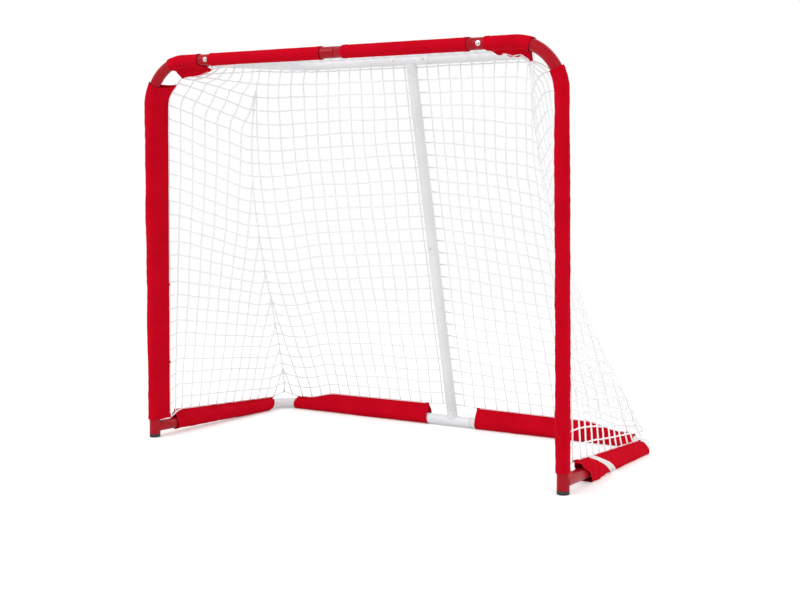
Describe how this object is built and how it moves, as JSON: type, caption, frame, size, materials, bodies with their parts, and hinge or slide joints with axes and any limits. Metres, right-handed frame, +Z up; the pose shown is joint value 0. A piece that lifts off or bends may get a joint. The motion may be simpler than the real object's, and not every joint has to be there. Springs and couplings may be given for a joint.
{
  "type": "street hockey goal",
  "caption": "Street hockey goal of push-fit steel tube with sprung snap buttons, a splayed base, a top shelf and a net hung in fabric sleeves.",
  "frame": {"origin": "on the ground, in the middle of the goal's width and of its depth", "axes": "+X to the right for someone who faces the mouth, +Y to the back of the net, +Z up"},
  "size_m": [1.375, 0.6324, 1.1209],
  "materials": {
    "red_steel": "gloss powder coat",
    "white_steel": "gloss powder coat",
    "black_plastic": "moulded polyethylene",
    "bright_steel": "nickel plated",
    "spring_steel": "bare spring steel",
    "red_fabric": "woven polyester sleeve",
    "white_cord": "braided polyester cord, square mesh",
    "white_webbing": "woven webbing"
  },
  "bodies": {
    "frame": {"left_corner_tube": "red_steel", "right_corner_tube": "red_steel", "left_crossbar_tube": "red_steel", "right_crossbar_tube": "red_steel", "left_base_tube": "white_steel", "right_base_tube": "white_steel", "base_tee": "white_steel", "left_shelf_tube": "white_steel", "right_shelf_tube": "white_steel", "shelf_tee": "white_steel", "upper_rear_post": "white_steel", "lower_rear_post": "white_steel", "left_foot_plug": "black_plastic", "right_foot_plug": "black_plastic", "left_post_sleeve": "red_fabric", "left_corner_sleeve": "red_fabric", "left_crossbar_sleeve": "red_fabric", "left_base_sleeve": "red_fabric", "left_rear_sleeve": "red_fabric", "right_post_sleeve": "red_fabric", "right_corner_sleeve": "red_fabric", "right_crossbar_sleeve": "red_fabric", "right_base_sleeve": "red_fabric", "right_rear_sleeve": "red_fabric", "back_net": "white_cord", "left_side_net": "white_cord", "right_side_net": "white_cord", "top_net": "white_cord", "base_strap": "white_webbing", "strap_snap": "bright_steel", "spring_crossbar_centre": "spring_steel", "spring_crossbar_left": "spring_steel", "spring_crossbar_right": "spring_steel", "spring_shelf_bar_left": "spring_steel", "spring_shelf_bar_right": "spring_steel", "spring_rear_bar_left": "spring_steel", "spring_rear_bar_right": "spring_steel", "spring_shelf_arm_left": "spring_steel", "spring_shelf_arm_right": "spring_steel", "spring_rear_post_top": "spring_steel", "spring_rear_post_foot": "spring_steel", "spring_base_arm_left": "spring_steel", "spring_base_arm_right": "spring_steel", "spring_rear_post_middle": "spring_steel"},
    "body_crossbar_centre": {"button_crossbar_centre": "bright_steel"},
    "body_crossbar_left": {"button_crossbar_left": "bright_steel"},
    "body_crossbar_right": {"button_crossbar_right": "bright_steel"},
    "body_shelf_bar_left": {"button_shelf_bar_left": "bright_steel"},
    "body_shelf_bar_right": {"button_shelf_bar_right": "bright_steel"},
    "body_rear_bar_left": {"button_rear_bar_left": "bright_steel"},
    "body_rear_bar_right": {"button_rear_bar_right": "bright_steel"},
    "body_shelf_arm_left": {"button_shelf_arm_left": "bright_steel"},
    "body_shelf_arm_right": {"button_shelf_arm_right": "bright_steel"},
    "body_rear_post_top": {"button_rear_post_top": "bright_steel"},
    "body_rear_post_foot": {"button_rear_post_foot": "bright_steel"},
    "body_base_arm_left": {"button_base_arm_left": "bright_steel"},
    "body_base_arm_right": {"button_base_arm_right": "bright_steel"},
    "body_rear_post_middle": {"button_rear_post_middle": "bright_steel"}
  },
  "joints": [
    {"name": "press_crossbar_centre", "type": "slide", "parent": "frame", "child": "body_crossbar_centre", "axis": [0, 0, 1], "range_m": [0, 0.0042], "stiffness_N_per_m": 1500, "springref_m": -0.004, "deforming": ["spring_crossbar_centre"]},
    {"name": "press_crossbar_left", "type": "slide", "parent": "frame", "child": "body_crossbar_left", "axis": [0, 1, 0], "range_m": [0, 0.0042], "stiffness_N_per_m": 1500, "springref_m": -0.004, "deforming": ["spring_crossbar_left"]},
    {"name": "press_crossbar_right", "type": "slide", "parent": "frame", "child": "body_crossbar_right", "axis": [0, 1, 0], "range_m": [0, 0.0042], "stiffness_N_per_m": 1500, "springref_m": -0.004, "deforming": ["spring_crossbar_right"]},
    {"name": "press_shelf_bar_left", "type": "slide", "parent": "frame", "child": "body_shelf_bar_left", "axis": [0, 1, 0], "range_m": [0, 0.0042], "stiffness_N_per_m": 1500, "springref_m": -0.004, "deforming": ["spring_shelf_bar_left"]},
    {"name": "press_shelf_bar_right", "type": "slide", "parent": "frame", "child": "body_shelf_bar_right", "axis": [0, 1, 0], "range_m": [0, 0.0042], "stiffness_N_per_m": 1500, "springref_m": -0.004, "deforming": ["spring_shelf_bar_right"]},
    {"name": "press_rear_bar_left", "type": "slide", "parent": "frame", "child": "body_rear_bar_left", "axis": [0, -1, 0], "range_m": [0, 0.0042], "stiffness_N_per_m": 1500, "springref_m": -0.004, "deforming": ["spring_rear_bar_left"]},
    {"name": "press_rear_bar_right", "type": "slide", "parent": "frame", "child": "body_rear_bar_right", "axis": [0, -1, 0], "range_m": [0, 0.0042], "stiffness_N_per_m": 1500, "springref_m": -0.004, "deforming": ["spring_rear_bar_right"]},
    {"name": "press_shelf_arm_left", "type": "slide", "parent": "frame", "child": "body_shelf_arm_left", "axis": [0, 0, 1], "range_m": [0, 0.0042], "stiffness_N_per_m": 1500, "springref_m": -0.004, "deforming": ["spring_shelf_arm_left"]},
    {"name": "press_shelf_arm_right", "type": "slide", "parent": "frame", "child": "body_shelf_arm_right", "axis": [0, 0, 1], "range_m": [0, 0.0042], "stiffness_N_per_m": 1500, "springref_m": -0.004, "deforming": ["spring_shelf_arm_right"]},
    {"name": "press_rear_post_top", "type": "slide", "parent": "frame", "child": "body_rear_post_top", "axis": [-1, 0, 0], "range_m": [0, 0.0042], "stiffness_N_per_m": 1500, "springref_m": -0.004, "deforming": ["spring_rear_post_top"]},
    {"name": "press_rear_post_foot", "type": "slide", "parent": "frame", "child": "body_rear_post_foot", "axis": [-1, 0, 0], "range_m": [0, 0.0042], "stiffness_N_per_m": 1500, "springref_m": -0.004, "deforming": ["spring_rear_post_foot"]},
    {"name": "press_base_arm_left", "type": "slide", "parent": "frame", "child": "body_base_arm_left", "axis": [0, -0.0229, -0.9997], "range_m": [0, 0.0042], "stiffness_N_per_m": 1500, "springref_m": -0.004, "deforming": ["spring_base_arm_left"]},
    {"name": "press_base_arm_right", "type": "slide", "parent": "frame", "child": "body_base_arm_right", "axis": [0, -0.0229, -0.9997], "range_m": [0, 0.0042], "stiffness_N_per_m": 1500, "springref_m": -0.004, "deforming": ["spring_base_arm_right"]},
    {"name": "press_rear_post_middle", "type": "slide", "parent": "frame", "child": "body_rear_post_middle", "axis": [0, 0.9791, 0.2032], "range_m": [0, 0.0042], "stiffness_N_per_m": 1500, "springref_m": -0.004, "deforming": ["spring_rear_post_middle"]}
  ]
}
